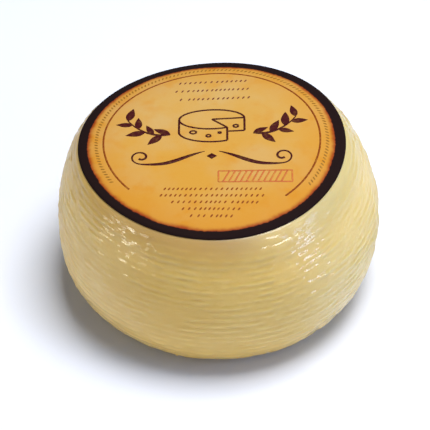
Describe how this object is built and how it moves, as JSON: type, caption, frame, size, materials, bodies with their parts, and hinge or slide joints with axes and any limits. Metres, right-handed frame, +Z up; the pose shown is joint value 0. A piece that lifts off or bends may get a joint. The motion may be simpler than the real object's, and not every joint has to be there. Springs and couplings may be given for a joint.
{
  "type": "caciotta cheese",
  "caption": "Whole round caciotta cheese with bulging, basket-ridged sides, a flat base to rest on, and a round paper label over its slightly sagging top.",
  "frame": {"origin": "middle of the flat base, on the axis of the widest circle", "axes": "+Z up through the label, +X to the right and -Y to the front as pictured"},
  "size_m": [0.1501, 0.1492, 0.0825],
  "materials": {
    "cheese": "waxy satin rind, pale cream yellow",
    "label": "coated paper, amber with a black border"
  },
  "bodies": {
    "root": {"cheese": "cheese", "label": "label"}
  },
  "joints": []
}
